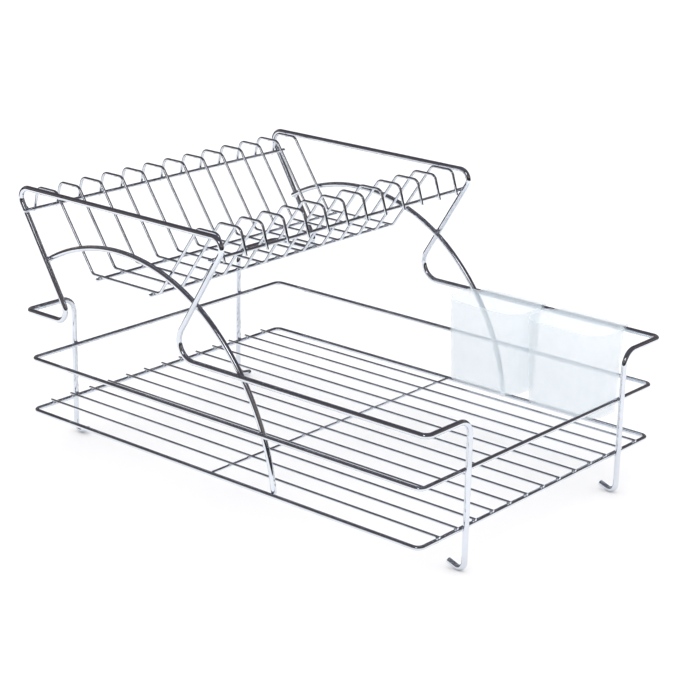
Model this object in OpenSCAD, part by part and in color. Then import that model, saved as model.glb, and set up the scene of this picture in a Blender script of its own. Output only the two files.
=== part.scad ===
// Two-tier dish drying rack, made of bent and welded round wire.
// X runs along the rack, with the plate cradle at -X and the cutlery cups at +X.
// Y runs across it, with the cups at +Y. Z is up and the feet stand on Z = 0.
// The origin is the middle of the rack's footprint, on the floor.

/* [Tray and guard rail] */
// Length of the tray ring and guard ring, between wire centres
ring_length = 450; // [420:5:480]
// Width of the tray ring and guard ring, between wire centres
ring_width = 332; // [310:2:350]
// Bend radius of the rings' corners
ring_corner_r = 6; // [5:1:14]
// Diameter of the ring wires
ring_wire_d = 4; // [3.6:0.1:4.4]
// Height of the tray ring's centre above the floor
tray_z = 37; // [34:1:44]
// Height of the guard ring's centre above the floor
guard_z = 87; // [80:1:95]
// Number of thin wires that make the tray's floor
tray_wire_count = 13; // [13:1:13]
// Diameter of the tray's floor wires
tray_wire_d = 2.4; // [2:0.1:2.8]
// Distance between the first and the last floor wire
tray_wire_span = 285.6; // [270:0.6:295.2]
// Length that the floor wires reach past the ring's centre line
tray_wire_overhang = 2.6; // [2:0.1:3]
// Diameter of the brace under the floor wires
cross_wire_d = 2.6; // [2.2:0.1:3]

/* [Side frames] */
// Diameter of the side frame and arch wires
frame_wire_d = 5; // [4.6:0.1:5.4]
// Height of the shoulder rail's centre above the floor
rail_z = 132; // [125:1:138]
// Height of the top rail's centre above the floor
top_z = 246; // [240:1:256]
// Distance of the plate cradle's middle from the middle of the rings, towards -X
cradle_offset = 110; // [106:1:114]
// Half length of the top rail, between its bend corners
top_half = 130; // [124:1:134]
// Half width of the waist where the frame turns out into the shoulder rail
waist_half = 60.5; // [56:0.5:64]
// Distance of the legs from the rack's long centre line
leg_y = 111; // [100:1:120]
// Bend radius of the top rail's ends
top_bend_r = 9.5; // [7:0.5:12]
// Bend radius of the waist on the cutlery side
long_waist_r = 17; // [12:1:20]
// Bend radius of the waist on the short side
short_waist_r = 10; // [8:1:14]
// Bend radius of the corners at the ends of the shoulder rail
shoulder_r = 6; // [5:1:10]
// Bend radius where the shoulder drops into a leg
leg_bend_r = 14; // [8:1:16]
// Bend radius of the feet
foot_r = 6; // [5:0.5:8]
// Length of the turned-up toe of a foot
toe_length = 9; // [6:1:14]
// Rise of the toe above level, in degrees
toe_rise = 20; // [10:1:30]

/* [Arches] */
// Height of the arch's upper end, where it is welded to the frame
arch_start_z = 184.5; // [180:0.5:188]
// Rise of the arch at its upper end, in degrees
arch_start_rise = 30.7; // [28:0.1:34]
// Radius of the arch's crown
crown_r = 173; // [168:1:178]
// Turn of the crown, in degrees
crown_turn = 74.3; // [72:0.1:76]
// Radius of the arch's falling end
tail_r = 207; // [200:1:214]
// Turn of the falling end, in degrees
tail_turn = 39; // [37:0.1:40]

/* [Plate cradle] */
// Number of plate wires
plate_wire_count = 13; // [13:1:13]
// Diameter of the plate wires
plate_wire_d = 2.6; // [2.2:0.1:3]
// Distance between the first and the last plate wire
plate_wire_span = 314; // [300:1:314]
// Height of the plate wires' floor
plate_floor_z = 180; // [178:1:184]
// Half length of the plate wires' floor, between bend corners
plate_floor_half = 41.5; // [38:0.5:44]
// Lean of the plate wires' long legs from upright, in degrees
plate_lean = 34.5; // [31:0.5:35]
// Lean of the plate wires' short outer legs from upright, in degrees
plate_splay = 17; // [12:0.5:20]
// Bend radius at the plate wires' floor
plate_floor_r = 5; // [4:0.5:8]
// Bend radius at the plate wires' top
plate_top_r = 6; // [4:0.5:7]
// Diameter of the rails that carry the plate wires
plate_rail_d = 3.2; // [2.8:0.1:3.6]
// Height of the upper plate rails
plate_rail_z = 226.5; // [223:0.5:228]
// Distance of the lower plate rails from the cradle's middle
lower_rail_half = 33; // [28:1:36]
// Length of the lower plate rails
lower_rail_length = 322; // [320:1:330]
// Length that the upper plate rails reach past the side frames' centre
upper_rail_overhang = 5; // [4.8:0.1:6]

/* [Cutlery cups] */
// Width of a cup at its rim
cup_width = 85; // [76:1:86]
// Depth of a cup at its rim, without the hanging lip
cup_depth = 43.5; // [42:0.5:50]
// Height of a cup
cup_height = 80; // [70:1:85]
// How far each side wall leans in from rim to base
cup_taper = 3; // [1:0.5:4]
// Wall thickness of a cup
cup_wall = 1.6; // [1.2:0.1:2]
// Radius of a cup's two front corners at its rim
cup_front_r = 19; // [12:1:20]
// Radius of a cup's two back corners at its rim
cup_back_r = 5; // [4:0.5:8]
// Gap between the two cups
cup_gap = 4.5; // [1:0.5:6]
// Distance of the first cup's rim from the middle of the rings
cup_start_x = 26; // [24:1:28]
// Distance of each end of the hanging lip from the cup's side
lip_inset = 6; // [5:0.5:8]
// Where the first cup's lip starts beside the arch, from the middle of the rings
lip_clear_x = 37; // [37:0.5:40]
// Depth of the flange that hooks down behind the rail
lip_drop = 8; // [6:0.5:12]
// Diameter of the drain holes in the base
drain_d = 4; // [3:0.5:5]
// Number of drain holes in a row
drain_count = 5; // [3:1:6]

/* [Hidden] */

// Facets around a wire or a tight bend, and around a full turn of a wide bend
wire_fn = 48;
wide_bend_fn = 288;
$fn = wire_fn;
// A bend is a hair thicker than its straights, whose ends stop just inside it
bend_swell = 0.02;
bend_lap = 0.1;
// Depth that crossing wires are pressed into each other by the weld
weld_bite = 0.15;
// Free play between a cup and the rail that it hangs on
cup_play = 0.3;
// Thickness of the discs that a cup's rounded block is stretched between
slab = 0.01;
chrome = [0.80, 0.81, 0.83];
clear_plastic = [0.90, 0.94, 0.98, 0.7];

// Planes across the rack: the arches lie inside the rings, the side frames outside the arches
arch_y = ring_width / 2 - (ring_wire_d + frame_wire_d) / 2 + weld_bite;
side_y = arch_y + frame_wire_d - weld_bite;
leg_x = ring_length / 2 + (ring_wire_d + frame_wire_d) / 2 - weld_bite;
cradle_x = -cradle_offset;
side_lean = atan((top_half - waist_half) / (top_z - rail_z));

// The rack's outermost points, and the shift that puts the origin midway between them
corner_reach = top_bend_r * (tan(45 + side_lean / 2) - 1);
left_end = cradle_x - top_half + corner_reach - frame_wire_d / 2;
right_end = leg_x + frame_wire_d / 2;
centre_shift = -(left_end + right_end) / 2;

// Upper plate rails lie against the inside of the leaning frame wires
frame_half_at_rail = waist_half + (plate_rail_z - rail_z) * tan(side_lean);
upper_rail_half = frame_half_at_rail
    - ((frame_wire_d + plate_rail_d) / 2 - weld_bite) / cos(side_lean);
lower_rail_z = plate_floor_z - (plate_wire_d + plate_rail_d) / 2 + weld_bite;

// Corners of a plate wire, as distances from the cradle's middle
plate_top_z = top_z;
plate_inner_half = plate_floor_half + (plate_top_z - plate_floor_z) * tan(plate_lean);
outer_leg_half = upper_rail_half
    + ((plate_wire_d + plate_rail_d) / 2 - weld_bite) / cos(plate_splay);
plate_outer_half = outer_leg_half - (plate_top_z - plate_rail_z) * tan(plate_splay);
plate_end_z = plate_rail_z - plate_rail_d;
plate_end_half = outer_leg_half + plate_rail_d * tan(plate_splay);

tray_wire_z = tray_z + (ring_wire_d + tray_wire_d) / 2 - weld_bite;
cross_wire_z = tray_wire_z - (tray_wire_d + cross_wire_d) / 2 + weld_bite;

// The back wall of a cup stands clear of the arch, and its lip reaches back over the rail
cup_back_y = arch_y - frame_wire_d / 2 - 2 * cup_play;
cup_rim_z = rail_z + frame_wire_d / 2 + cup_play + cup_wall;
cup_base_z = cup_rim_z - cup_height;
lip_back_y = side_y + frame_wire_d / 2 + cup_play + cup_wall;

function numbered(name, i) = str(name, i < 10 ? "0" : "", i);
// Place of item i of count, spread evenly over span about zero
function spread(i, count, span) = span * ((i - 1) / (count - 1) - 0.5);

function unit(v) = v / norm(v);
// Direction of stretch i of a path
function heading(path, i) = unit(path[i + 1] - path[i]);
// Axis that the path turns about at the end of stretch i
function turn_axis(path, i) = unit(cross(heading(path, i), heading(path, i + 1)));
function turn_angle(path, i) = acos(heading(path, i) * heading(path, i + 1));
// Twist about stretch i from the last bend's plane to the next one's
function twist(path, i) = i == 0 ? 0 : atan2(
    cross(turn_axis(path, i - 1), turn_axis(path, i)) * heading(path, i),
    turn_axis(path, i - 1) * turn_axis(path, i));
// Length that the bend at the end of stretch i takes from the stretches beside it
function setback(path, radii, i) =
    i < 0 || i > len(path) - 3 ? 0 : radii[i] * tan(turn_angle(path, i) / 2);
function straight_length(path, radii, i) =
    norm(path[i + 1] - path[i]) - setback(path, radii, i - 1) - setback(path, radii, i);

// A straight stretch of wire along +Z, with its children at the far end.
// It can reach a little way into the bend before it and the bend after it.
module straight(d, length, before, after) {
    translate([0, 0, -before]) cylinder(d = d, h = before + length + after);
    translate([0, 0, length]) children();
}

// A bend that starts along +Z and turns towards +X, with its children at the far end
module bend(d, r, angle) {
    translate([r, 0, 0]) {
        rotate([90, 0, 180])
            rotate_extrude(angle = angle, $fn = r > 50 ? wide_bend_fn : wire_fn)
                translate([r, 0]) circle(d = d + bend_swell, $fn = wire_fn);
        rotate([0, angle, 0]) translate([-r, 0, 0]) children();
    }
}

// The rest of a bent wire, from stretch i of its path
module wire_from(d, path, radii, i) {
    more = i < len(path) - 2;
    straight(d, straight_length(path, radii, i), i > 0 ? bend_lap : 0, more ? bend_lap : 0)
        if (more)
            rotate([0, 0, twist(path, i)])
                bend(d, radii[i], turn_angle(path, i))
                    wire_from(d, path, radii, i + 1);
}

// One wire bent along a path of corner points, with a bend radius for each inner corner
module bent_wire(d, path, radii) {
    ahead = heading(path, 0);
    across = turn_axis(path, 0);
    side = cross(across, ahead);
    start = path[0];
    multmatrix([
        [side.x, across.x, ahead.x, start.x],
        [side.y, across.y, ahead.y, start.y],
        [side.z, across.z, ahead.z, start.z],
        [0, 0, 0, 1]
    ])
        wire_from(d, path, radii, 0);
}

// A straight wire of the given length along Y, centred on the point
module wire_along_y(d, length, point)
    translate(point) rotate([90, 0, 0]) cylinder(d = d, h = length, center = true);

// Moves a piece from the rings' middle to the middle of the whole footprint
module placed() translate([centre_shift, 0, 0]) children();

// One side frame: foot, leg, shoulder rail, waist, cradle side, and back down to a foot
module side_wire() {
    toe = toe_length + foot_r * tan(45 + toe_rise / 2);
    foot_z = frame_wire_d / 2;
    toe_x = leg_x - toe * cos(toe_rise);
    toe_z = foot_z + toe * sin(toe_rise);
    // Lowering the corner under the leg brings the bend's lowest point to the floor
    sink = foot_r * (tan(45 + toe_rise / 2) - 1);
    path = [
        [toe_x, leg_y, toe_z - sink],
        [leg_x, leg_y, foot_z - sink],
        [leg_x, leg_y, rail_z],
        [leg_x, side_y, rail_z],
        [cradle_x + waist_half, side_y, rail_z],
        [cradle_x + top_half, side_y, top_z],
        [cradle_x - top_half, side_y, top_z],
        [cradle_x - waist_half, side_y, rail_z],
        [-leg_x, side_y, rail_z],
        [-leg_x, leg_y, rail_z],
        [-leg_x, leg_y, foot_z - sink],
        [-toe_x, leg_y, toe_z - sink]
    ];
    leg_radii = [foot_r, leg_bend_r, shoulder_r];
    cradle_radii = [long_waist_r, top_bend_r, top_bend_r, short_waist_r];
    bent_wire(frame_wire_d, path, concat(leg_radii, cradle_radii, [shoulder_r, leg_bend_r, foot_r]));
}

module side_wire_front() color(chrome) placed() mirror([0, 1, 0]) side_wire();
module side_wire_back() color(chrome) placed() side_wire();

// An arch from the leaning end of the cradle, over its crown and down to the tray ring
module arch_wire() {
    start_half = waist_half + (arch_start_z - rail_z) * tan(side_lean);
    translate([cradle_x - start_half, arch_y, arch_start_z])
        rotate([0, 90 - arch_start_rise, 0])
            bend(frame_wire_d, crown_r, crown_turn)
                straight(frame_wire_d, 1, bend_lap, bend_lap)
                    bend(frame_wire_d, tail_r, tail_turn);
}

module arch_wire_front() color(chrome) placed() mirror([0, 1, 0]) arch_wire();
module arch_wire_back() color(chrome) placed() arch_wire();

// A closed ring with four rounded corners, joined at the middle of its +Y side
module ring(z) {
    x = ring_length / 2;
    y = ring_width / 2;
    path = [[0, y, z], [x, y, z], [x, -y, z], [-x, -y, z], [-x, y, z], [0, y, z]];
    bent_wire(ring_wire_d, path, [for (i = [1 : 4]) ring_corner_r]);
}

module guard_ring() color(chrome) placed() ring(guard_z);
module tray_ring() color(chrome) placed() ring(tray_z);

// A floor wire of the tray, lying on the ring's two ends
module tray_wire(i) {
    length = ring_length + 2 * tray_wire_overhang;
    y = spread(i, tray_wire_count, tray_wire_span);
    color(chrome) placed()
        translate([0, y, tray_wire_z]) rotate([0, 90, 0])
            cylinder(d = tray_wire_d, h = length, center = true);
}

// The brace under the floor wires, butted against the ring's long sides
module tray_cross_wire() {
    length = ring_width - ring_wire_d + 4 * weld_bite;
    color(chrome) placed() wire_along_y(cross_wire_d, length, [0, 0, cross_wire_z]);
}

// An upper plate rail on the left (-1) or right (+1) of the cradle
module upper_rail(side) {
    length = 2 * (side_y + upper_rail_overhang);
    x = cradle_x + side * upper_rail_half;
    color(chrome) placed() wire_along_y(plate_rail_d, length, [x, 0, plate_rail_z]);
}

// A lower plate rail on the left (-1) or right (+1) of the cradle
module lower_rail(side) {
    x = cradle_x + side * lower_rail_half;
    color(chrome) placed() wire_along_y(plate_rail_d, lower_rail_length, [x, 0, lower_rail_z]);
}

module plate_rail_left() upper_rail(-1);
module plate_rail_right() upper_rail(1);
module plate_bottom_rail_left() lower_rail(-1);
module plate_bottom_rail_right() lower_rail(1);

// A plate wire: two leaning legs joined by a floor, each with a hooked-over top
module plate_wire(i) {
    y = spread(i, plate_wire_count, plate_wire_span);
    half = [
        [plate_end_half, plate_end_z],
        [plate_outer_half, plate_top_z],
        [plate_inner_half, plate_top_z],
        [plate_floor_half, plate_floor_z]
    ];
    left = [for (p = half) [cradle_x - p[0], y, p[1]]];
    right = [for (k = [3 : -1 : 0]) [cradle_x + half[k][0], y, half[k][1]]];
    radii = [plate_top_r, plate_top_r, plate_floor_r, plate_floor_r, plate_top_r, plate_top_r];
    color(chrome) placed() bent_wire(plate_wire_d, concat(left, right), radii);
}

// A block with rounded upright edges that narrows downwards by lean on each side
module tapered_block(width, depth, height, front_r, back_r, lean) {
    hull() {
        translate([0, 0, height - slab]) corner_discs(width, depth, front_r, back_r);
        corner_discs(width - 2 * lean, depth - 2 * lean, front_r - lean / 2, back_r - lean / 2);
    }
}

// Four thin discs at the corners of a rectangle, with wide ones at the front
module corner_discs(width, depth, front_r, back_r) {
    linear_extrude(slab)
        for (side = [-1, 1]) {
            translate([side * (width / 2 - front_r), front_r - depth / 2])
                circle(r = front_r, $fn = 32);
            translate([side * (width / 2 - back_r), depth / 2 - back_r])
                circle(r = back_r, $fn = 32);
        }
}

// The lip that runs back from the rim, over the rail and down behind it, from X = 0
module hanging_lip(length) {
    reach = lip_back_y - cup_back_y;
    outline = [
        [-cup_wall, 0],
        [reach, 0],
        [reach, -lip_drop],
        [reach - cup_wall, -lip_drop],
        [reach - cup_wall, -cup_wall],
        [-cup_wall, -cup_wall]
    ];
    rotate([90, 0, 90]) linear_extrude(length) polygon(outline);
}

// A tapered cutlery cup, with its rim's left edge at x
module cutlery_cup(x) {
    inner_width = cup_width - 2 * cup_wall;
    inner_depth = cup_depth - 2 * cup_wall;
    lip_start = max(x + lip_inset, lip_clear_x);
    lip_length = x + cup_width - lip_inset - lip_start;
    hole_span = cup_width - 2 * cup_taper - 2 * cup_front_r;
    color(clear_plastic) placed()
        translate([x + cup_width / 2, cup_back_y - cup_depth / 2, cup_base_z]) {
            difference() {
                tapered_block(cup_width, cup_depth, cup_height, cup_front_r, cup_back_r, cup_taper);
                translate([0, 0, cup_wall])
                    tapered_block(inner_width, inner_depth, cup_height,
                        cup_front_r - cup_wall, cup_back_r - cup_wall, cup_taper);
                for (i = [1 : drain_count], row = [-1, 1])
                    translate([spread(i, drain_count, hole_span), row * cup_depth / 5, -1])
                        cylinder(d = drain_d, h = cup_wall + 2);
            }
            translate([lip_start - x - cup_width / 2, cup_depth / 2, cup_height])
                hanging_lip(lip_length);
        }
}

module cutlery_cup_left() cutlery_cup(cup_start_x);
module cutlery_cup_right() cutlery_cup(cup_start_x + cup_width + cup_gap);

side_wire_front();
side_wire_back();
arch_wire_front();
arch_wire_back();
guard_ring();
tray_ring();
tray_cross_wire();
for (i = [1 : tray_wire_count])
    tray_wire(i);
plate_rail_left();
plate_rail_right();
plate_bottom_rail_left();
plate_bottom_rail_right();
for (i = [1 : plate_wire_count])
    plate_wire(i);
cutlery_cup_left();
cutlery_cup_right();
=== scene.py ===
# %% [markdown]
# # A dish drying rack in bent, chromed wire
#
# The rack is bent from round wire, spot welded and chrome plated, and two milky plastic cutlery
# cups hang on its back rail. Its measured solids come in as the frame, one node for each wire.
# They are right in size but made of flat triangles, which show at once on a mirror finish. So
# every wire is swept again here along its own path, with round bends and rounded cut ends, and
# the cups are built again with soft edges. Nothing moves away from where the frame has it.

# %% Load the frame
import math

import bmesh
import bpy
from mathutils import Matrix, Vector


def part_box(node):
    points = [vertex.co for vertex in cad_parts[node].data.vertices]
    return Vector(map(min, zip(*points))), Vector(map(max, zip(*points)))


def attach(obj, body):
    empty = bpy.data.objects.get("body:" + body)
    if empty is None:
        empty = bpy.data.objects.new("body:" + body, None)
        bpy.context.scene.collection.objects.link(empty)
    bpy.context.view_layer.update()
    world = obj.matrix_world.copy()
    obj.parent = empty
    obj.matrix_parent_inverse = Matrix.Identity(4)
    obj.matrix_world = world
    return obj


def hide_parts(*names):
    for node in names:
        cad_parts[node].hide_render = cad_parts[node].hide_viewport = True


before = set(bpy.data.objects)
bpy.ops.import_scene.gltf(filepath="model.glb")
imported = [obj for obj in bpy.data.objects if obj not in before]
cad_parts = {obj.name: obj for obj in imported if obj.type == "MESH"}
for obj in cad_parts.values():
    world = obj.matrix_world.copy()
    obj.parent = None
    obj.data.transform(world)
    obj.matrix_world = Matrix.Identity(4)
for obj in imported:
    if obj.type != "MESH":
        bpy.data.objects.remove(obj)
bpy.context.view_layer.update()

# %% [markdown]
# ## Measures
#
# Whatever a node's box can give is read from it: how long and wide the rings are, and how high
# each wire lies. A box can't give a bend radius or the slope of a leaning wire, so those stand
# here as named values. All lengths are in metres.

# %% Wire diameters and the small allowances of the frame
FRAME_WIRE = 0.005
RING_WIRE = 0.004
RAIL_WIRE = 0.0032
PLATE_WIRE = 0.0026
BRACE_WIRE = 0.0026
TRAY_WIRE = 0.0024
FRAME_FACETS, RING_FACETS, RAIL_FACETS, THIN_FACETS = 28, 24, 20, 16  # flats round each wire
WELD_BITE = 0.00015  # how far crossing wires sink into each other at a weld
BEND_SWELL = 0.00002  # how much thicker the frame's bends are than its straights
print(f"wires from {1000 * TRAY_WIRE:.1f} to {1000 * FRAME_WIRE:.1f} mm thick")


def span_of(node, axis):
    """How long a node is along an axis: 0 is X, 1 is Y and 2 is Z."""
    low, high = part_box(node)
    return high[axis] - low[axis]


def middle_of(node, axis):
    """The middle of a node's box along an axis."""
    low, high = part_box(node)
    return (low[axis] + high[axis]) / 2


# %% Heights, widths and planes read from the frame
ring_x = middle_of("tray_ring", 0)
ring_half_x = (span_of("tray_ring", 0) - RING_WIRE - BEND_SWELL) / 2
ring_half_y = (span_of("tray_ring", 1) - RING_WIRE - BEND_SWELL) / 2
tray_z = middle_of("tray_ring", 2)
guard_z = middle_of("guard_ring", 2)

side_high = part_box("side_wire_back")[1]
leg_x = side_high[0] - ring_x - (FRAME_WIRE + BEND_SWELL) / 2
side_y = side_high[1] - (FRAME_WIRE + BEND_SWELL) / 2
top_z = side_high[2] - (FRAME_WIRE + BEND_SWELL) / 2
arch_y = middle_of("arch_wire_back", 1)

cradle_x = (middle_of("plate_rail_left", 0) + middle_of("plate_rail_right", 0)) / 2
upper_rail_half = middle_of("plate_rail_right", 0) - cradle_x
upper_rail_z = middle_of("plate_rail_left", 2)
lower_rail_half = middle_of("plate_bottom_rail_right", 0) - cradle_x
lower_rail_z = middle_of("plate_bottom_rail_left", 2)
tray_wire_z = middle_of("tray_wire_01", 2)
brace_z = middle_of("tray_cross_wire", 2)
print(f"ring {2 * ring_half_x:.4f} by {2 * ring_half_y:.4f}, legs at {leg_x:.5f}, top {top_z:.4f}")
print(f"cradle at {cradle_x:.4f}, upper rails at {upper_rail_half:.4f}")

# %% Shape values that a box can't give
RING_CORNER = 0.006
RAIL_Z = 0.132
LEG_Y = 0.111
TOP_HALF = 0.130
WAIST_HALF = 0.0605
TOP_BEND = 0.0095
LONG_WAIST_BEND = 0.017
SHORT_WAIST_BEND = 0.010
SHOULDER_BEND = 0.006
LEG_BEND = 0.014
FOOT_BEND = 0.006
TOE_LENGTH = 0.009
TOE_RISE = math.radians(20)
ARCH_START_Z = 0.1845
ARCH_START_RISE = math.radians(30.7)
CROWN_RADIUS, CROWN_TURN = 0.173, math.radians(74.3)
TAIL_RADIUS, TAIL_TURN = 0.207, math.radians(39)
PLATE_FLOOR_Z = 0.180
PLATE_FLOOR_HALF = 0.0415
PLATE_LEAN = math.radians(34.5)
PLATE_SPLAY = math.radians(17)
PLATE_FLOOR_BEND = 0.005
PLATE_TOP_BEND = 0.006
WIRE_COUNT = 13  # plate wires, and as many tray floor wires
RIGHT_ANGLE = math.radians(90)

side_lean = math.atan((TOP_HALF - WAIST_HALF) / (top_z - RAIL_Z))
print(f"the cradle's sides lean {math.degrees(side_lean):.1f} degrees")

# %% [markdown]
# ## Camera and surroundings
#
# The camera stands under two metres from the rack, in front of its cutlery end, and looks down at
# it. A polished wire shows only what is around it, so the surroundings are half of the finish.
# Below the horizon is a pale floor, and above it a dim room, so each level wire is dark on top
# with a bright line below, and each upright one is bright.

# %% Camera
def look(location, forward, roll):
    """A camera at location that looks along forward, turned by roll about that line."""
    ahead = Vector(forward).normalized()
    level = ahead.cross(Vector((0, 0, 1))).normalized()
    right = level * math.cos(roll) + level.cross(ahead) * math.sin(roll)
    up = right.cross(ahead)
    camera = bpy.data.objects.new("camera", bpy.data.cameras.new("camera"))
    camera.matrix_world = Matrix.Translation(location) @ Matrix(
        (right, up, -ahead)).transposed().to_4x4()
    bpy.context.scene.collection.objects.link(camera)
    return camera


CAMERA_PLACE = (1.07311, -1.27042, 0.67300)
CAMERA_FORWARD = (-0.6062, 0.72685, -0.32281)
CAMERA_ROLL = math.radians(1.3)

camera = look(CAMERA_PLACE, CAMERA_FORWARD, CAMERA_ROLL)
camera.data.sensor_width = 36
camera.data.lens = 100.43
camera.data.shift_x = 0.0004
camera.data.shift_y = 0.0018
bpy.context.scene.camera = camera
bpy.context.scene.view_settings.view_transform = "Standard"
print("camera at", tuple(round(c, 4) for c in camera.matrix_world.translation))

# %% [markdown]
# ## Node helpers
#
# Every material and every Geometry Nodes tree is a set of nodes with values and links. Written out
# one call at a time that takes many lines, so one helper adds a node, sets its values and makes its
# links together. A dictionary gives the inputs, by name or by number.

# %% Helpers for shader nodes
def new_material(name):
    """A node material, with its tree and its Principled shader."""
    material = bpy.data.materials.new(name)
    material.use_nodes = True
    return material, material.node_tree, material.node_tree.nodes["Principled BSDF"]


def add_node(tree, kind, inputs=(), **settings):
    """A node of that kind. An input is a value, or the output socket that feeds it."""
    node = tree.nodes.new(kind)
    for name, value in settings.items():
        setattr(node, name, value)
    for key, value in dict(inputs).items():
        if isinstance(value, bpy.types.NodeSocket):
            tree.links.new(value, node.inputs[key])
        else:
            node.inputs[key].default_value = value
    return node


def colour_ramp(tree, factor, *stops):
    """Colours along a factor, each stop a position and a linear colour."""
    ramp = add_node(tree, "ShaderNodeValToRGB", {"Fac": factor})
    elements = ramp.color_ramp.elements
    while len(elements) < len(stops):
        elements.new(0.5)
    for element, (position, colour) in zip(elements, stops):
        element.position = position
        element.color = (*colour, 1)
    return ramp.outputs["Color"]


def value_between(tree, factor, low, high):
    """Stretches a factor of 0 to 1 over low to high."""
    return add_node(tree, "ShaderNodeMapRange", {
        "Value": factor, "To Min": low, "To Max": high}).outputs["Result"]


def noise(tree, place, scale, detail, **more):
    """A noise pattern's value, at places given by an output socket."""
    return add_node(tree, "ShaderNodeTexNoise", {
        "Vector": place, "Scale": scale, "Detail": detail, **more}).outputs["Fac"]


# %% [markdown]
# ## Floor and soft light
#
# The floor is a nearly white sheet, with the slight clouding that a painted surface has. The light
# that brightens it is one very large soft panel overhead, so a thin wire casts hardly any shadow.
# The wires don't mirror the panel, because it would wash out their dark upper sides.

# %% Pale floor
FLOOR_HALF = 15.0
FLOOR_CLOUD_SCALE = 3.0


def make_floor():
    """A large sheet under the rack's feet."""
    mesh = bpy.data.meshes.new("floor")
    corners = [(-1, -1), (1, -1), (1, 1), (-1, 1)]
    mesh.from_pydata([(x * FLOOR_HALF, y * FLOOR_HALF, 0) for x, y in corners], [], [(0, 1, 2, 3)])
    floor = bpy.data.objects.new("floor", mesh)
    bpy.context.scene.collection.objects.link(floor)
    material, tree, shader = new_material("floor_paint")
    place = add_node(tree, "ShaderNodeTexCoord").outputs["Object"]
    cloud = noise(tree, place, FLOOR_CLOUD_SCALE, 2.0)
    paint = colour_ramp(tree, cloud, (0.0, (0.90, 0.90, 0.90)), (1.0, (0.93, 0.93, 0.93)))
    tree.links.new(paint, shader.inputs["Base Color"])
    shader.inputs["Roughness"].default_value = 0.9
    shader.inputs["Specular IOR Level"].default_value = 0.1
    mesh.materials.append(material)
    return floor


floor = make_floor()
print("floor:", 2 * FLOOR_HALF, "m wide")

# %% Soft panel overhead
PANEL_SIDE = 40.0
PANEL_HEIGHT = 8.0
PANEL_POWER = 6600.0


def make_panel():
    """The soft light overhead, which neither the camera nor a mirror finish sees."""
    light = bpy.data.lights.new("soft_panel", "AREA")
    light.size = PANEL_SIDE
    light.energy = PANEL_POWER
    panel = bpy.data.objects.new("soft_panel", light)
    panel.location = (0, 0, PANEL_HEIGHT)
    panel.visible_glossy = False
    panel.visible_camera = False
    bpy.context.scene.collection.objects.link(panel)
    return panel


soft_panel = make_panel()
print("soft panel:", soft_panel.data.energy, "W at", tuple(soft_panel.location))

# %% [markdown]
# ## What the chrome mirrors
#
# Three things draw the streaks on a polished wire. A small square light in front gives a fine
# bright line on bends and leaning wires. A low dark band round the set ends the pale floor in the
# reflections, as the walls of a real room do: a floor that ran on to the horizon would turn half of
# each wire white. The room itself is a ramp of dim colours by height. The camera sees neither the
# band nor the room, only white.

# %% A window of light that the chrome mirrors
SOFTBOX_TOWARDS = Vector((0.33, -0.73, 0.60)).normalized()
SOFTBOX_DISTANCE = 2.6
SOFTBOX_SIDE = 0.6
SOFTBOX_POWER = 3.2


def make_softbox():
    """A small square light that faces the middle of the floor."""
    light = bpy.data.lights.new("softbox", "AREA")
    light.size = SOFTBOX_SIDE
    light.energy = SOFTBOX_POWER
    box = bpy.data.objects.new("softbox", light)
    box.matrix_world = Matrix.Translation(SOFTBOX_TOWARDS * SOFTBOX_DISTANCE) @ (
        SOFTBOX_TOWARDS.to_track_quat("Z", "Y").to_matrix().to_4x4())
    box.visible_camera = False
    bpy.context.scene.collection.objects.link(box)
    return box


softbox = make_softbox()
print("softbox:", softbox.data.energy, "W at", tuple(round(c, 3) for c in softbox.location))

# %% Dark flag round the set
FLAG_RADIUS = 1.25
FLAG_HEIGHT = 0.30
FLAG_FOOT = 0.001  # its lower edge stands just clear of the floor
FLAG_SIDES = 64


def make_flag():
    """A low dark band that only reflections see."""
    turns = [2 * math.pi * i / FLAG_SIDES for i in range(FLAG_SIDES)]
    points = [(FLAG_RADIUS * math.cos(a), FLAG_RADIUS * math.sin(a), z)
              for z in (FLAG_FOOT, FLAG_HEIGHT) for a in turns]
    faces = [(i, (i + 1) % FLAG_SIDES, FLAG_SIDES + (i + 1) % FLAG_SIDES, FLAG_SIDES + i)
             for i in range(FLAG_SIDES)]
    mesh = bpy.data.meshes.new("dark_flag")
    mesh.from_pydata(points, [], faces)
    flag = bpy.data.objects.new("dark_flag", mesh)
    bpy.context.scene.collection.objects.link(flag)
    material, _, shader = new_material("flag_cloth")
    shader.inputs["Base Color"].default_value = (0.03, 0.028, 0.03, 1)
    shader.inputs["Roughness"].default_value = 1.0
    mesh.materials.append(material)
    for ray in ("camera", "diffuse", "transmission", "volume_scatter", "shadow"):
        setattr(flag, "visible_" + ray, False)
    return flag


flag = make_flag()
print("dark band:", len(flag.data.polygons), "faces,", FLAG_HEIGHT, "m high")

# %% The dim room
ROOM_COLOURS = [  # from the horizon at height 0 to straight overhead at height 1
    (0.0, (0.032, 0.03, 0.038)), (0.12, (0.042, 0.04, 0.05)), (0.24, (0.22, 0.175, 0.15)),
    (0.40, (0.155, 0.13, 0.125)), (0.6, (0.07, 0.065, 0.08)), (1.0, (0.105, 0.10, 0.125))]


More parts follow.
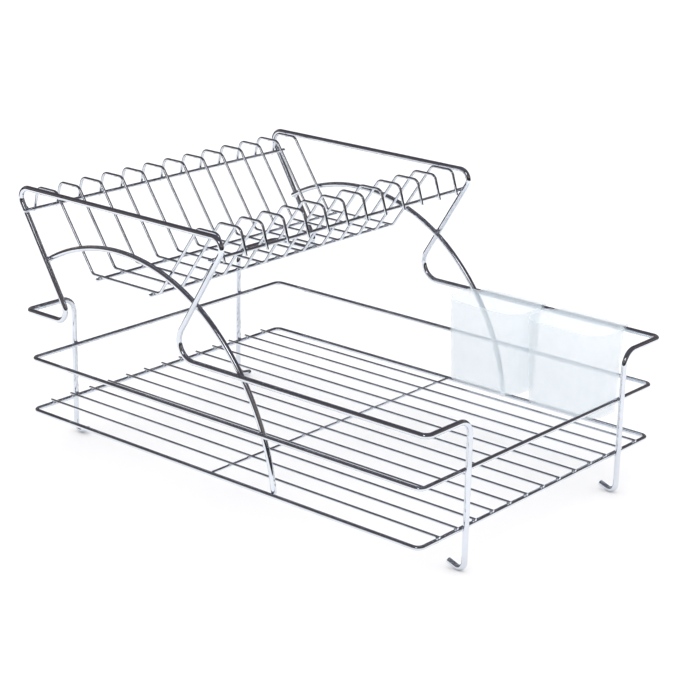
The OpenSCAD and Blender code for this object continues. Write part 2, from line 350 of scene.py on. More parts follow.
def make_room():
    """A dim room for the mirror finish, and a white one for the camera itself."""
    world = bpy.data.worlds.new("room")
    world.use_nodes = True
    tree = world.node_tree
    sky = tree.nodes["Background"]
    direction = add_node(tree, "ShaderNodeTexCoord").outputs["Generated"]
    height = add_node(tree, "ShaderNodeSeparateXYZ", {"Vector": direction}).outputs["Z"]
    room = colour_ramp(tree, height, *ROOM_COLOURS)
    tree.links.new(room, sky.inputs["Color"])
    pale = add_node(tree, "ShaderNodeBackground", {"Color": (1, 1, 1, 1), "Strength": 1.0})
    seen = add_node(tree, "ShaderNodeLightPath").outputs["Is Camera Ray"]
    mix = add_node(tree, "ShaderNodeMixShader", {
        0: seen, 1: sky.outputs["Background"], 2: pale.outputs["Background"]})
    tree.links.new(mix.outputs["Shader"], tree.nodes["World Output"].inputs["Surface"])
    bpy.context.scene.world = world


make_room()
print("room:", len(ROOM_COLOURS), "colours by height")

# %% [markdown]
# ## Chrome
#
# Chrome is a metal shader with a cool tint. A perfect mirror looks like a computer drawing, so the
# plating gets what the real one has. Drawing the wire through its die leaves faint lines along it,
# the plating is a little hazy in patches, and the wire's surface waves slightly. The lines have to
# follow each wire round its bends, so they read two attributes that the sweep stores: where a point
# lies around the wire, and how far along it.

# %% Chrome of the wires
DRAW_LINES_AROUND = 9.0  # lines left by the die, across the wire
DRAW_LINES_ALONG = 30.0  # and how fast they change along it, per metre
PATCH_SCALE = 45.0
PLATING_DARK, PLATING_LIGHT = 0.90, 1.04  # shares of the tint in the patches
PLATING_BUMP = 0.05
BUMP_HEIGHT = 0.0001


def make_chrome(name, tint, haze_low, haze_high, pit_size):
    """Chrome plating with lines along the wire, hazy patches and fine pits."""
    material, tree, shader = new_material(name)
    shader.inputs["Metallic"].default_value = 1.0
    around = add_node(tree, "ShaderNodeAttribute", attribute_name="wire_around").outputs["Vector"]
    along = add_node(tree, "ShaderNodeAttribute", attribute_name="wire_along").outputs["Fac"]
    ring = add_node(tree, "ShaderNodeVectorMath", {
        0: around, "Scale": DRAW_LINES_AROUND}, operation="SCALE")
    stretched = add_node(tree, "ShaderNodeMath", {
        0: along, 1: DRAW_LINES_ALONG}, operation="MULTIPLY")
    length = add_node(tree, "ShaderNodeCombineXYZ", {"Z": stretched.outputs["Value"]})
    grain_place = add_node(tree, "ShaderNodeVectorMath", {
        0: ring.outputs["Vector"], 1: length.outputs["Vector"]}, operation="ADD").outputs["Vector"]
    grain = noise(tree, grain_place, 1.0, 3.0, Roughness=0.6)
    place = add_node(tree, "ShaderNodeTexCoord").outputs["Object"]
    patches = noise(tree, place, PATCH_SCALE, 3.0)
    pits = noise(tree, place, 1.0 / pit_size, 2.0)
    dark, light = [tuple(c * share for c in tint) for share in (PLATING_DARK, PLATING_LIGHT)]
    plate = colour_ramp(tree, patches, (0.3, dark), (0.7, light))
    tree.links.new(plate, shader.inputs["Base Color"])
    haze = add_node(tree, "ShaderNodeMath", {0: grain, 1: patches}, operation="MULTIPLY")
    tree.links.new(value_between(tree, haze.outputs["Value"], haze_low, haze_high),
                   shader.inputs["Roughness"])
    height = add_node(tree, "ShaderNodeMath", {0: grain, 1: pits}, operation="ADD")
    bump = add_node(tree, "ShaderNodeBump", {
        "Height": height.outputs["Value"], "Strength": PLATING_BUMP, "Distance": BUMP_HEIGHT})
    tree.links.new(bump.outputs["Normal"], shader.inputs["Normal"])
    return material


wire_chrome = make_chrome("wire_chrome", (0.74, 0.78, 0.84), 0.01, 0.11, 0.0009)
weld_chrome = make_chrome("weld_chrome", (0.80, 0.82, 0.86), 0.08, 0.26, 0.0003)
print("materials:", wire_chrome.name, "and", weld_chrome.name)

# %% [markdown]
# ## Sweeping a wire
#
# A wire follows a path of corner points with a bend radius at each. A small function turns that
# into points along the straights and arcs, spaced so that the flats between them can't be seen.
# Geometry Nodes then does what suits it: it turns the edges into a curve, carries a round profile
# along it and copies the result where a wire repeats. The same tree makes every wire of the rack,
# with different sizes on its inputs.

# %% Points along a bent wire
FLATNESS = 0.000008  # how far a bend may depart from a true arc
LEAST_BEND_STEPS = 4


def bend_points(before, corner, after, radius):
    """Points on the arc that rounds one corner."""
    ahead = (corner - before).normalized()
    turned = (after - corner).normalized()
    turn = ahead.angle(turned)
    start = corner - ahead * radius * math.tan(turn / 2)
    inward = (turned - ahead * turned.dot(ahead)).normalized()
    centre = start + inward * radius
    step = 2 * math.acos(1 - FLATNESS / radius)
    count = max(LEAST_BEND_STEPS, math.ceil(turn / step))
    angles = [turn * i / count for i in range(count + 1)]
    return [centre + (ahead * math.sin(a) - inward * math.cos(a)) * radius for a in angles]


def rounded_path(corners, radii, closed=False):
    """All points of a wire. A closed path is rounded at every corner, an open one between its ends."""
    corners = [Vector(c) for c in corners]
    count = len(corners)
    if closed:
        return [p for i in range(count) for p in bend_points(
            corners[i - 1], corners[i], corners[(i + 1) % count], radii[i])]
    inner = [p for i in range(1, count - 1) for p in bend_points(*corners[i - 1:i + 2], radii[i - 1])]
    return [corners[0], *inner, corners[-1]]


CUT_EDGE = 0.16  # radius of the worn edge round a cut, as a share of the diameter


def cut_end(end, neighbour, diameter):
    """The last points of a cut wire, each with its share of the full thickness."""
    back = (neighbour - end).normalized()
    edge = CUT_EDGE * diameter
    shares = []
    for depth in (0.0, 0.3, 1.0):
        lost = edge * (1 - math.sqrt(1 - (1 - depth) ** 2))
        shares.append((end + back * edge * depth, 1 - 2 * lost / diameter))
    return shares


quarter_bend = bend_points(Vector((0, 0, 0)), Vector((0.1, 0, 0)), Vector((0.1, 0.1, 0)), TOP_BEND)
print("a square bend of the top rail's radius has", len(quarter_bend), "points")

# %% Paths into one mesh of edges
def path_object(name, paths, diameter):
    """An object whose edges are the wires' centre lines. Each path is (points, closed)."""
    points, edges, thickness = [], [], []
    for path, closed in paths:
        first = len(points)
        if closed:
            run = [(p, 1.0) for p in path]
        else:
            head = cut_end(path[0], path[1], diameter)
            tail = cut_end(path[-1], path[-2], diameter)
            run = head + [(p, 1.0) for p in path[1:-1]] + tail[::-1]
        points += [p for p, _ in run]
        thickness += [t for _, t in run]
        edges += [(i, i + 1) for i in range(first, len(points) - 1)]
        if closed:
            edges.append((len(points) - 1, first))
    mesh = bpy.data.meshes.new(name)
    mesh.from_pydata(points, edges, [])
    attribute = mesh.attributes.new("thickness", "FLOAT", "POINT")
    attribute.data.foreach_set("value", thickness)
    obj = bpy.data.objects.new(name, mesh)
    bpy.context.scene.collection.objects.link(obj)
    return obj


# %% Geometry Nodes helpers
def new_tree(name, inputs):
    """An empty Geometry Nodes tree with its sockets, and the identifier of each input by name."""
    tree = bpy.data.node_groups.new(name, "GeometryNodeTree")
    tree.interface.new_socket("Geometry", in_out="INPUT", socket_type="NodeSocketGeometry")
    names = {}
    for label, kind in inputs:
        made = tree.interface.new_socket(label, in_out="INPUT", socket_type="NodeSocket" + kind)
        names[label] = made.identifier
    tree.interface.new_socket("Geometry", in_out="OUTPUT", socket_type="NodeSocketGeometry")
    return tree, tree.nodes.new("NodeGroupInput").outputs, names


def finish_tree(tree, geometry, material):
    """Ends a tree in real, smooth geometry that carries a material."""
    real = add_node(tree, "GeometryNodeRealizeInstances", {"Geometry": geometry})
    smooth = add_node(tree, "GeometryNodeSetShadeSmooth", {"Geometry": real.outputs["Geometry"]})
    painted = add_node(tree, "GeometryNodeSetMaterial", {
        "Geometry": smooth.outputs["Geometry"], "Material": material})
    out = tree.nodes.new("NodeGroupOutput")
    tree.links.new(painted.outputs["Geometry"], out.inputs["Geometry"])


def grow(obj, tree, names, values):
    """Runs a tree on an object, and leaves the result as its plain mesh."""
    modifier = obj.modifiers.new(tree.name, "NODES")
    modifier.node_group = tree
    for label, value in values.items():
        modifier[names[label]] = value
    evaluated = obj.evaluated_get(bpy.context.evaluated_depsgraph_get())
    mesh = bpy.data.meshes.new_from_object(evaluated)
    obj.modifiers.clear()
    mesh.name = obj.name
    obj.data = mesh
    return obj


# %% The tree that sweeps and repeats a wire
def make_wire_tree():
    """Sweeps a round profile along the edges, and copies the wire in a row."""
    tree, given, names = new_tree("swept_wire", [
        ("Diameter", "Float"), ("Facets", "Int"), ("Copies", "Int"), ("Step", "Vector"),
        ("Material", "Material")])
    path = add_node(tree, "GeometryNodeMeshToCurve", {"Mesh": given["Geometry"]})
    reach = add_node(tree, "GeometryNodeSplineParameter")
    path = add_node(tree, "GeometryNodeStoreNamedAttribute", {
        "Geometry": path.outputs["Curve"], "Name": "wire_along", "Value": reach.outputs["Length"]},
        data_type="FLOAT", domain="POINT")
    radius = add_node(tree, "ShaderNodeMath", {0: given["Diameter"], 1: 0.5}, operation="MULTIPLY")
    profile = add_node(tree, "GeometryNodeCurvePrimitiveCircle", {
        "Resolution": given["Facets"], "Radius": radius.outputs["Value"]})
    spoke = add_node(tree, "ShaderNodeVectorMath", {
        0: add_node(tree, "GeometryNodeInputPosition").outputs["Position"]}, operation="NORMALIZE")
    profile = add_node(tree, "GeometryNodeStoreNamedAttribute", {
        "Geometry": profile.outputs["Curve"], "Name": "wire_around",
        "Value": spoke.outputs["Vector"]}, data_type="FLOAT_VECTOR", domain="POINT")
    share = add_node(tree, "GeometryNodeInputNamedAttribute", {"Name": "thickness"}, data_type="FLOAT")
    tube = add_node(tree, "GeometryNodeCurveToMesh", {
        "Curve": path.outputs["Geometry"], "Profile Curve": profile.outputs["Geometry"],
        "Scale": share.outputs["Attribute"], "Fill Caps": True})
    row = add_node(tree, "GeometryNodeMeshLine", {
        "Count": given["Copies"], "Offset": given["Step"]}, mode="OFFSET")
    copies = add_node(tree, "GeometryNodeInstanceOnPoints", {
        "Points": row.outputs["Mesh"], "Instance": tube.outputs["Mesh"]})
    finish_tree(tree, copies.outputs["Instances"], given["Material"])
    return tree, names


wire_tree, wire_inputs = make_wire_tree()
print("inputs of the wire tree:", ", ".join(wire_inputs))


# %% Making a piece of wire
CUT_ANGLE = math.radians(35)  # edges sharper than this stay sharp, as the cut ends do


def box_error(mesh, nodes):
    """How far a mesh's box is from the box round some of the frame's nodes."""
    low = [min(v.co[a] for v in mesh.vertices) for a in range(3)]
    high = [max(v.co[a] for v in mesh.vertices) for a in range(3)]
    frame_low = [min(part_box(n)[0][a] for n in nodes) for a in range(3)]
    frame_high = [max(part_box(n)[1][a] for n in nodes) for a in range(3)]
    return max(abs(x - y) for x, y in zip(low + high, frame_low + frame_high))


def make_wires(name, paths, diameter, facets, nodes, copies=1, step=(0, 0, 0)):
    """A piece of swept wire that rides on the rack and stands for the frame's nodes."""
    obj = grow(path_object(name, paths, diameter), wire_tree, wire_inputs, {
        "Diameter": diameter, "Facets": facets, "Copies": copies, "Step": step,
        "Material": wire_chrome})
    obj.data.set_sharp_from_angle(angle=CUT_ANGLE)
    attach(obj, "rack")
    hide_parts(*nodes)
    off = box_error(obj.data, nodes)
    print(f"{name}: {len(obj.data.polygons)} faces, {1000 * off:.3f} mm off the frame's box")


# %% [markdown]
# ## Side frames
#
# Each side is one long wire, bent cold: foot, leg, shoulder rail, waist, cradle side, and the same
# back down to the other foot. The two sides are mirror images, so one list of corners is written
# out and used twice with Y reversed. A swept tube never turns inside out that way, because the
# mirroring happens to the path and not to a finished mesh.

# %% Side frames, front and back
def at_rack(points, flip=1):
    """Points given from the middle of the rings, moved to the row frame, with Y reversed by -1."""
    return [(ring_x + x, flip * y, z) for x, y, z in points]


def side_corners():
    """One side wire's corners, from the right toe to the left one."""
    foot_reach = FOOT_BEND * math.tan((RIGHT_ANGLE + TOE_RISE) / 2)
    toe = TOE_LENGTH + foot_reach
    corner_z = FRAME_WIRE / 2 - (foot_reach - FOOT_BEND)
    toe_x = leg_x - toe * math.cos(TOE_RISE)
    toe_z = corner_z + toe * math.sin(TOE_RISE)
    middle = cradle_x - ring_x
    return [
        (toe_x, LEG_Y, toe_z), (leg_x, LEG_Y, corner_z), (leg_x, LEG_Y, RAIL_Z),
        (leg_x, side_y, RAIL_Z), (middle + WAIST_HALF, side_y, RAIL_Z),
        (middle + TOP_HALF, side_y, top_z), (middle - TOP_HALF, side_y, top_z),
        (middle - WAIST_HALF, side_y, RAIL_Z), (-leg_x, side_y, RAIL_Z),
        (-leg_x, LEG_Y, RAIL_Z), (-leg_x, LEG_Y, corner_z), (-toe_x, LEG_Y, toe_z)]


SIDE_BENDS = [FOOT_BEND, LEG_BEND, SHOULDER_BEND, LONG_WAIST_BEND, TOP_BEND, TOP_BEND,
              SHORT_WAIST_BEND, SHOULDER_BEND, LEG_BEND, FOOT_BEND]
side_paths = [(rounded_path(at_rack(side_corners(), flip), SIDE_BENDS), False) for flip in (-1, 1)]
make_wires("side_frames", side_paths, FRAME_WIRE, FRAME_FACETS,
           ["side_wire_front", "side_wire_back"])

# %% [markdown]
# ## Arches
#
# An arch stands inside each side frame. It rises from the cradle's leaning end, goes over in one
# wide arc and falls in a slightly flatter one to the tray. Both arcs are bends like any other, only
# very wide, so the path needs just its two ends and the points where the tangents cross.

# %% Arches, front and back
ARCH_JOIN = 0.001  # the straight between the two arcs
SAME_PLACE = 1e-5


def arch_corners():
    """The arch's ends and tangent crossings, from the middle of the rings."""
    start_half = WAIST_HALF + (ARCH_START_Z - RAIL_Z) * math.tan(side_lean)
    point = Vector((cradle_x - ring_x - start_half, arch_y, ARCH_START_Z))
    rise = ARCH_START_RISE
    reaches = [CROWN_RADIUS * math.tan(CROWN_TURN / 2), TAIL_RADIUS * math.tan(TAIL_TURN / 2)]
    stretches = [reaches[0], reaches[0] + ARCH_JOIN + reaches[1], reaches[1]]
    corners = [point]
    for stretch, turn in zip(stretches, (CROWN_TURN, TAIL_TURN, 0)):
        point = point + Vector((math.cos(rise), 0, math.sin(rise))) * stretch
        corners.append(point)
        rise -= turn
    return [tuple(c) for c in corners]


def without_doubles(points):
    """Drops a point that lies on the one before it."""
    kept = [points[0]]
    for p in points[1:]:
        if (p - kept[-1]).length > SAME_PLACE:
            kept.append(p)
    return kept


arch_paths = [(without_doubles(rounded_path(
    at_rack(arch_corners(), flip), [CROWN_RADIUS, TAIL_RADIUS])), False) for flip in (-1, 1)]
make_wires("arches", arch_paths, FRAME_WIRE, FRAME_FACETS, ["arch_wire_front", "arch_wire_back"])

# %% [markdown]
# ## Rings and rails
#
# The tray ring and the guard ring are the same closed loop at two heights, so the loop is swept
# once and copied upwards. The plate rails are straight wires with free ends.

# %% Tray ring and guard ring
ring_corners = [(ring_x + x * ring_half_x, y * ring_half_y, tray_z)
                for x, y in ((1, 1), (1, -1), (-1, -1), (-1, 1))]
ring_path = rounded_path(ring_corners, [RING_CORNER] * 4, closed=True)
make_wires("rings", [(ring_path, True)], RING_WIRE, RING_FACETS, ["tray_ring", "guard_ring"],
           copies=2, step=(0, 0, guard_z - tray_z))


# %% Plate rails
def straight_path(node, axis):
    """The centre line of a straight node along one axis."""
    low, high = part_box(node)
    ends = [[middle_of(node, a) for a in range(3)] for _ in range(2)]
    ends[0][axis], ends[1][axis] = low[axis], high[axis]
    return [Vector(e) for e in ends]


rail_nodes = ["plate_rail_left", "plate_rail_right",
              "plate_bottom_rail_left", "plate_bottom_rail_right"]
make_wires("plate_rails", [(straight_path(n, 1), False) for n in rail_nodes],
           RAIL_WIRE, RAIL_FACETS, rail_nodes)

# %% [markdown]
# ## Tray floor and plate wires
#
# Thirteen straight wires lie across the tray ring, and thirteen bent ones stand in the cradle. Each
# row is one wire repeated at an even pitch, which is the copying part of the tree.

# %% Tray floor
def numbered(stem):
    """The names of a row of nodes."""
    return [f"{stem}_{i:02d}" for i in range(1, WIRE_COUNT + 1)]


def pitch_of(names):
    """How far apart a row's wires lie along Y."""
    return (middle_of(names[-1], 1) - middle_of(names[0], 1)) / (len(names) - 1)


tray_names = numbered("tray_wire")
make_wires("tray_floor", [(straight_path(tray_names[0], 0), False)], TRAY_WIRE, THIN_FACETS,
           tray_names, copies=WIRE_COUNT, step=(0, pitch_of(tray_names), 0))
make_wires("tray_brace", [(straight_path("tray_cross_wire", 1), False)], BRACE_WIRE, THIN_FACETS,
           ["tray_cross_wire"])

# %% Plate wires
plate_names = numbered("plate_wire")
half_sizes = (PLATE_WIRE + RAIL_WIRE) / 2 - WELD_BITE
outer_leg_half = upper_rail_half + half_sizes / math.cos(PLATE_SPLAY)


def plate_corners(y):
    """Half of a plate wire from its outer end to the floor, then the other half mirrored."""
    end_z = upper_rail_z - RAIL_WIRE
    half = [
        (outer_leg_half + RAIL_WIRE * math.tan(PLATE_SPLAY), end_z),
        (outer_leg_half - (top_z - upper_rail_z) * math.tan(PLATE_SPLAY), top_z),
        (PLATE_FLOOR_HALF + (top_z - PLATE_FLOOR_Z) * math.tan(PLATE_LEAN), top_z),
        (PLATE_FLOOR_HALF, PLATE_FLOOR_Z)]
    return [(cradle_x - x, y, z) for x, z in half] + [(cradle_x + x, y, z) for x, z in half[::-1]]


PLATE_BENDS = [PLATE_TOP_BEND, PLATE_TOP_BEND, PLATE_FLOOR_BEND]
plate_path = rounded_path(plate_corners(middle_of(plate_names[0], 1)),
                          PLATE_BENDS + PLATE_BENDS[::-1])
make_wires("plate_wires", [(plate_path, False)], PLATE_WIRE, THIN_FACETS,
           plate_names, copies=WIRE_COUNT, step=(0, pitch_of(plate_names), 0))

# %% [markdown]
# ## Spot welds
#
# Where two wires cross, a spot weld has squeezed a little metal out between them, and the plating
# over it is duller. Each weld is a small flattened bead on the line between the two wires. There are
# over a hundred, so they are points with a size and a turn, and Geometry Nodes puts the same bead on
# each.

# %% Where the wires cross
welds = []  # each is the contact point, the two wires' directions and the thinner wire's diameter
ALONG_X, ALONG_Y, ALONG_Z = Vector((1, 0, 0)), Vector((0, 1, 0)), Vector((0, 0, 1))


def weld(point, first, second, thin):
    """Notes one weld for the bead tree."""
    welds.append((Vector(point), first.normalized(), second.normalized(), thin))


for name in tray_names:
    y = middle_of(name, 1)
    for side in (-1, 1):
        weld((ring_x + side * ring_half_x, y, tray_z + RING_WIRE / 2), ALONG_X, ALONG_Y, TRAY_WIRE)
    weld((ring_x, y, tray_wire_z - TRAY_WIRE / 2), ALONG_X, ALONG_Y, TRAY_WIRE)
for side in (-1, 1):
    weld((ring_x, side * (ring_half_y - RING_WIRE / 2), brace_z), ALONG_X, ALONG_Y, BRACE_WIRE)
for name in plate_names:
    y = middle_of(name, 1)
    for side in (-1, 1):
        splay = Vector((-side * math.sin(PLATE_SPLAY), 0, math.cos(PLATE_SPLAY)))
        out = Vector((side * math.cos(PLATE_SPLAY), 0, math.sin(PLATE_SPLAY))) * RAIL_WIRE / 2
        weld(Vector((cradle_x + side * upper_rail_half, y, upper_rail_z)) + out,
             splay, ALONG_Y, PLATE_WIRE)
        weld((cradle_x + side * lower_rail_half, y, lower_rail_z + RAIL_WIRE / 2),
             ALONG_X, ALONG_Y, PLATE_WIRE)
print(len(welds), "welds on the thin wires")

# %% Welds of the side frames and arches
def leaning(side):
    """Direction of the cradle's leaning wire on that side."""
    return Vector((side * math.sin(side_lean), 0, math.cos(side_lean)))


def arch_crossings(distance):
    """Where one arch path crosses a plane, given as a signed distance of a point from it."""
    path = arch_paths[1][0]
    found = []
    for p, q in zip(path, path[1:]):
        a, b = distance(p), distance(q)
        if a * b < 0:
            found.append((p.lerp(q, a / (a - b)), (q - p).normalized()))
    return found


def right_lean(p):
    """Positive on the plate side of the cradle's right leaning wire."""
    return p.x - (cradle_x + WAIST_HALF + (p.z - RAIL_Z) * math.tan(side_lean))


START_WELD_INSET = 0.001  # from the arch's cut end to the weld on the leaning wire

for flip in (-1, 1):
    contact_y = flip * (arch_y + side_y) / 2
    for side in (-1, 1):
        lean = leaning(side)
        inside = Vector((-side * math.cos(side_lean), 0, math.sin(side_lean))) * FRAME_WIRE / 2
        wire_x = cradle_x + side * (
            WAIST_HALF + (upper_rail_z - RAIL_Z) * math.tan(side_lean))
        weld(Vector((wire_x, flip * side_y, upper_rail_z)) + inside, lean, ALONG_Y, RAIL_WIRE)
        for z in (tray_z, guard_z):
            weld((ring_x + side * (ring_half_x + RING_WIRE / 2), flip * LEG_Y, z),
                 ALONG_Z, ALONG_Y, RING_WIRE)
    for z in (tray_z, guard_z):
        for point, heading in arch_crossings(lambda p: p.z - z):
            weld((point.x, flip * (ring_half_y - RING_WIRE / 2), z), ALONG_X, heading, RING_WIRE)
    point, heading = arch_crossings(lambda p: p.z - RAIL_Z)[-1]
    weld((point.x, contact_y, RAIL_Z), ALONG_X, heading, FRAME_WIRE)
    point, heading = arch_crossings(right_lean)[0]
    weld((point.x, contact_y, point.z), leaning(1), heading, FRAME_WIRE)
    start, next_point = arch_paths[1][0][:2]
    weld((start.x + START_WELD_INSET, contact_y, start.z),
         leaning(-1), next_point - start, FRAME_WIRE)
print(len(welds), "welds in all")

# %% Weld beads
BEAD_LENGTH = 0.62  # half length along each wire, as a share of the thinner wire's diameter
BEAD_HEIGHT = 0.34  # half height between the wires
BEAD_SEGMENTS, BEAD_RINGS = 10, 6


def make_bead_tree():
    """Puts a bead on each point, turned and scaled by the point's attributes."""
    tree, given, names = new_tree("weld_beads", [
        ("Segments", "Int"), ("Rings", "Int"), ("Material", "Material")])
    bead = add_node(tree, "GeometryNodeMeshUVSphere", {
        "Segments": given["Segments"], "Rings": given["Rings"], "Radius": 1.0})
    turn = add_node(tree, "GeometryNodeInputNamedAttribute", {"Name": "bead_turn"},
                    data_type="FLOAT_VECTOR")
    size = add_node(tree, "GeometryNodeInputNamedAttribute", {"Name": "bead_size"},
                    data_type="FLOAT_VECTOR")
    spin = add_node(tree, "FunctionNodeEulerToRotation", {"Euler": turn.outputs["Attribute"]})
    points = add_node(tree, "GeometryNodeMeshToPoints", {"Mesh": given["Geometry"]})
    beads = add_node(tree, "GeometryNodeInstanceOnPoints", {
        "Points": points.outputs["Points"], "Instance": bead.outputs["Mesh"],
        "Rotation": spin.outputs["Rotation"], "Scale": size.outputs["Attribute"]})
    finish_tree(tree, beads.outputs["Instances"], given["Material"])
    return tree, names


def make_beads():
    """All welds as one piece."""
    mesh = bpy.data.meshes.new("welds")
    mesh.from_pydata([w[0] for w in welds], [], [])
    turns, sizes = [], []
    for _, first, second, thin in welds:
        across = first.cross(second).normalized()
        middle = across.cross(first)
        turn = Matrix((first, middle, across)).transposed().to_euler()
        turns += list(turn)
        sizes += [thin * BEAD_LENGTH, thin * BEAD_LENGTH, thin * BEAD_HEIGHT]
    for label, values in (("bead_turn", turns), ("bead_size", sizes)):
        mesh.attributes.new(label, "FLOAT_VECTOR", "POINT").data.foreach_set("vector", values)
    obj = bpy.data.objects.new("welds", mesh)
    bpy.context.scene.collection.objects.link(obj)
    tree, names = make_bead_tree()
    grow(obj, tree, names, {
        "Segments": BEAD_SEGMENTS, "Rings": BEAD_RINGS, "Material": weld_chrome})
    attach(obj, "rack")
    print("weld beads:", len(obj.data.polygons), "faces")


make_beads()

# %% [markdown]
# ## Milky plastic
#
# The cups are moulded in a clear plastic with a little white in it. Light passes, but a wire behind
# a cup shows only as a soft line. Real scattering inside the walls would be slow and noisy on
# something so thin, so each skin of a wall lets about three quarters of the light through by its
# alpha and scatters the rest. A faint cloudiness keeps the flat walls from looking like paper.

# %% Plastic of the cups
CLOUD_SCALE = 60.0
SKIN_SCALE = 1800.0
SKIN_BUMP = 0.04


def make_plastic():
    """A translucent plastic with a faint cloudiness and a fine moulded skin."""
    material, tree, shader = new_material("milky_plastic")
    place = add_node(tree, "ShaderNodeTexCoord").outputs["Object"]
    cloud = noise(tree, place, CLOUD_SCALE, 3.0)
    skin = noise(tree, place, SKIN_SCALE, 2.0)
    tint = colour_ramp(tree, cloud, (0.3, (0.885, 0.955, 1.0)), (0.7, (0.895, 0.965, 1.0)))
    tree.links.new(tint, shader.inputs["Base Color"])
    tree.links.new(value_between(tree, cloud, 0.28, 0.40), shader.inputs["Roughness"])
    tree.links.new(value_between(tree, cloud, 0.26, 0.29), shader.inputs["Alpha"])
    shader.inputs["IOR"].default_value = 1.49
    shader.inputs["Specular IOR Level"].default_value = 0.25
    bump = add_node(tree, "ShaderNodeBump", {
        "Height": skin, "Strength": SKIN_BUMP, "Distance": BUMP_HEIGHT})
    tree.links.new(bump.outputs["Normal"], shader.inputs["Normal"])
    return material


milky_plastic = make_plastic()
print("material:", milky_plastic.name)

# %% [markdown]
# ## Cutlery cups
#
# A cup is a thin tapered shell with a lip that runs back over the rail and hooks down behind it.
# It is built as rings of points, one ring for each height, up the outside and down the inside, so
# the wall has an even thickness. The lip grows out of the ring's back edge, so the shell stays one
# closed skin. Drain holes are a grid, which Geometry Nodes cuts out, and a Bevel softens the edges.

# %% Measures of a cup
CUP_WALL = 0.0016
CUP_TAPER = 0.003
CUP_FRONT_CORNER = 0.019
CUP_BACK_CORNER = 0.005
CUP_PLAY = 0.0003  # free play between a cup and the wires beside it
CORNER_STEPS = 10  # flats round a cup's corner
ROUND_STEPS = 3  # flats round the base's edge
LIP_STEPS = 4  # flats round the lip's bend
LIP_INSET = 0.006  # from each side of the cup to the lip's end
LIP_CLEAR = 0.037  # where the first cup's lip starts beside the arch, from the middle of the rings
LIP_DROP = 0.008
LIP_ROUND = 0.0022
BASE_ROUND = 0.002
CUP_EDGE = 0.0003
EDGE_STEPS = 3
EDGE_ANGLE = math.radians(50)  # edges sharper than this are softened
CREASE_ANGLE = math.radians(60)  # and edges sharper than this shade as creases
HOLE_WIDTH = 0.004
HOLE_FACETS = 20
HOLE_COUNT = 5
HOLE_ROWS = 2
HOLE_ROW_SHARE = 0.8  # distance between the rows, as a share of half the cup's depth


def cup_ring(half_x, half_y, front, back, lip, z):
    """One ring of a cup, against the clock from its back left corner, seen from above.

    It ends with the two points of the back edge between which the lip grows.
    """
    quarter = [RIGHT_ANGLE * i / CORNER_STEPS for i in range(CORNER_STEPS + 1)]
    points = []
    corners = ((-1, 1, back), (-1, -1, front), (1, -1, front), (1, 1, back))
    for turn, (sx, sy, corner) in enumerate(corners):
        start = RIGHT_ANGLE * (turn + 1)
        for a in quarter:
            points.append(Vector((sx * (half_x - corner) + corner * math.cos(start + a),
                                  sy * (half_y - corner) + corner * math.sin(start + a), z)))
    return points + [Vector((x, half_y, z)) for x in reversed(lip)]


trial_ring = cup_ring(0.04, 0.02, CUP_FRONT_CORNER, CUP_BACK_CORNER, (-0.03, 0.03), 0)
print("a cup's ring has", len(trial_ring), "points")


# %% Build a cup's shell
def cup_levels(half_x, half_y, height, lip):
    """The rings from the middle of the base's underside, up the outside and down the inside."""
    def size_at(z, inset):
        """Half sizes and corner radii at a height, this far in from the outer skin."""
        lean = CUP_TAPER * (1 - z / height)
        return (half_x - inset - lean, half_y - inset - lean,
                CUP_FRONT_CORNER - inset - lean / 2, CUP_BACK_CORNER - inset - lean / 2)

    turns = [RIGHT_ANGLE * i / ROUND_STEPS for i in range(ROUND_STEPS + 1)]
    outside = [(BASE_ROUND * (1 - math.cos(a)), BASE_ROUND * (1 - math.sin(a))) for a in turns]
    outside += [(height - CUP_WALL, 0), (height, 0)]
    inside = [(height, CUP_WALL)]
    inside += [(CUP_WALL + BASE_ROUND * (1 - math.sin(a)),
                CUP_WALL + BASE_ROUND * (1 - math.cos(a))) for a in turns]
    return [cup_ring(*size_at(z, inset), lip, z) for z, inset in outside + inside], len(outside)


def lip_profile(reach, top):
    """Points of the lip behind the wall, as (distance back, height), over the top and back under."""
    turns = [RIGHT_ANGLE * i / LIP_STEPS for i in range(LIP_STEPS + 1)]
    outer = [(reach - LIP_ROUND * (1 - math.sin(a)), top - LIP_ROUND * (1 - math.cos(a)))
             for a in turns]
    inner_round = LIP_ROUND - CUP_WALL
    under = [(reach - CUP_WALL - inner_round * (1 - math.sin(a)),
              top - CUP_WALL - inner_round * (1 - math.cos(a))) for a in turns[::-1]]
    return outer + [(reach, top - LIP_DROP), (reach - CUP_WALL, top - LIP_DROP)] + under


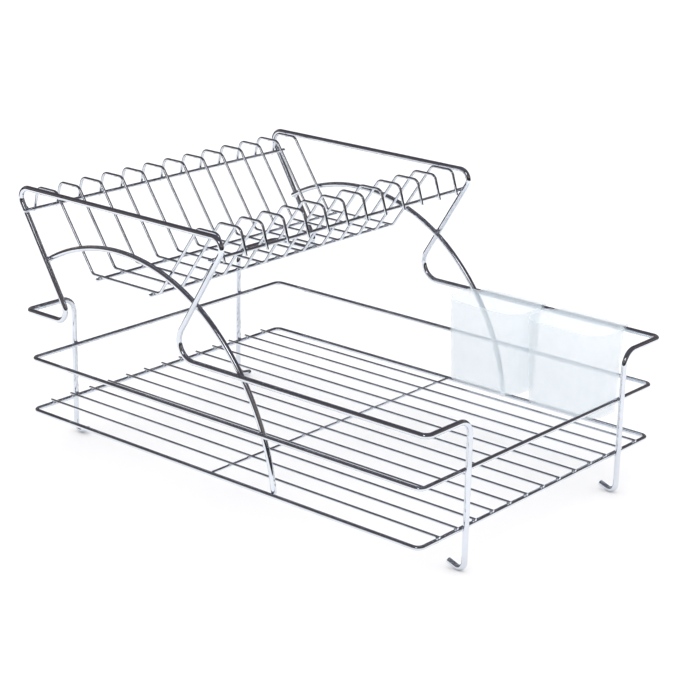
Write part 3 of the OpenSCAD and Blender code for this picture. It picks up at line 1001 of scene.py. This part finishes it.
def make_cup_shell(node):
    """The closed skin of one cup, in the row frame."""
    low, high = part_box(node)
    half_x = (high[0] - low[0]) / 2
    back_y = arch_y - FRAME_WIRE / 2 - 2 * CUP_PLAY
    half_y = (back_y - low[1]) / 2
    height = high[2] - low[2]
    place = Vector(((low[0] + high[0]) / 2, (low[1] + back_y) / 2, low[2]))
    lip_start = max(low[0] + LIP_INSET, ring_x + LIP_CLEAR) - place.x
    lip_end = high[0] - LIP_INSET - place.x
    levels, outer_count = cup_levels(half_x, half_y, height, (lip_start, lip_end))
    shell = bmesh.new()
    rings = [[shell.verts.new(p + place) for p in ring] for ring in levels]
    count = len(rings[0])
    lip_points = (count - 2, count - 1)
    for level, (below, above) in enumerate(zip(rings, rings[1:])):
        for i in range(count):
            if (level, i) == (outer_count - 2, lip_points[0]):
                continue  # the lip leaves the wall here
            j = (i + 1) % count
            shell.faces.new((below[i], below[j], above[j], above[i]))
    shell.faces.new(rings[0][::-1])
    shell.faces.new(rings[-1])
    lower, upper = rings[outer_count - 2], rings[outer_count - 1]
    profile = lip_profile(high[1] - place.y, height)
    columns = []
    for i in lip_points:
        x = upper[i].co.x
        made = [shell.verts.new((x, place.y + y, place.z + z)) for y, z in profile]
        columns.append([upper[i], *made, lower[i]])
    for left, right in zip(columns, columns[1:]):
        for k in range(len(left) - 1):
            shell.faces.new((left[k], right[k], right[k + 1], left[k + 1]))
    shell.faces.new(columns[0])
    shell.faces.new(columns[-1][::-1])
    bmesh.ops.recalc_face_normals(shell, faces=shell.faces)
    mesh = bpy.data.meshes.new(node + "_shell")
    shell.to_mesh(mesh)
    shell.free()
    obj = bpy.data.objects.new(node + "_shell", mesh)
    bpy.context.scene.collection.objects.link(obj)
    return obj, place, half_x, half_y


# %% The tree that drills the drain holes
def make_drain_tree():
    """Cuts a grid of round holes through the base."""
    tree, given, names = new_tree("drain_holes", [
        ("Hole Width", "Float"), ("Depth", "Float"), ("Count", "Int"), ("Rows", "Int"),
        ("Length", "Float"), ("Width", "Float"), ("Centre", "Vector"), ("Material", "Material")])
    grid = add_node(tree, "GeometryNodeMeshGrid", {
        "Size X": given["Length"], "Size Y": given["Width"],
        "Vertices X": given["Count"], "Vertices Y": given["Rows"]})
    placed = add_node(tree, "GeometryNodeTransform", {
        "Geometry": grid.outputs["Mesh"], "Translation": given["Centre"]})
    radius = add_node(tree, "ShaderNodeMath", {0: given["Hole Width"], 1: 0.5}, operation="MULTIPLY")
    drill = add_node(tree, "GeometryNodeMeshCylinder", {
        "Vertices": HOLE_FACETS, "Radius": radius.outputs["Value"], "Depth": given["Depth"]})
    drills = add_node(tree, "GeometryNodeInstanceOnPoints", {
        "Points": placed.outputs["Geometry"], "Instance": drill.outputs["Mesh"]})
    real = add_node(tree, "GeometryNodeRealizeInstances", {"Geometry": drills.outputs["Instances"]})
    cut = add_node(tree, "GeometryNodeMeshBoolean", operation="DIFFERENCE", solver="EXACT")
    tree.links.new(given["Geometry"], cut.inputs["Mesh 1"])
    tree.links.new(real.outputs["Geometry"], cut.inputs["Mesh 2"])
    finish_tree(tree, cut.outputs["Mesh"], given["Material"])
    return tree, names


drain_tree, drain_inputs = make_drain_tree()
print("inputs of the drain tree:", ", ".join(drain_inputs))


# %% Finish both cups
def make_cup(node, body):
    """One cup, drilled and with soft edges, that rides on its own body."""
    cup, place, half_x, half_y = make_cup_shell(node)
    grow(cup, drain_tree, drain_inputs, {
        "Hole Width": HOLE_WIDTH, "Depth": 4 * CUP_WALL, "Count": HOLE_COUNT, "Rows": HOLE_ROWS,
        "Length": 2 * (half_x - CUP_TAPER - CUP_FRONT_CORNER), "Width": HOLE_ROW_SHARE * half_y,
        "Centre": (place.x, place.y, place.z), "Material": milky_plastic})
    bevel = cup.modifiers.new("soft_edges", "BEVEL")
    bevel.width = CUP_EDGE
    bevel.segments = EDGE_STEPS
    bevel.limit_method = "ANGLE"
    bevel.angle_limit = EDGE_ANGLE
    evaluated = cup.evaluated_get(bpy.context.evaluated_depsgraph_get())
    cup.data = bpy.data.meshes.new_from_object(evaluated)
    cup.modifiers.clear()
    cup.data.name = cup.name
    cup.data.set_sharp_from_angle(angle=CREASE_ANGLE)
    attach(cup, body)
    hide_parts(node)
    print(f"{cup.name}: {len(cup.data.polygons)} faces")


make_cup("cutlery_cup_left", "cup_left")
make_cup("cutlery_cup_right", "cup_right")
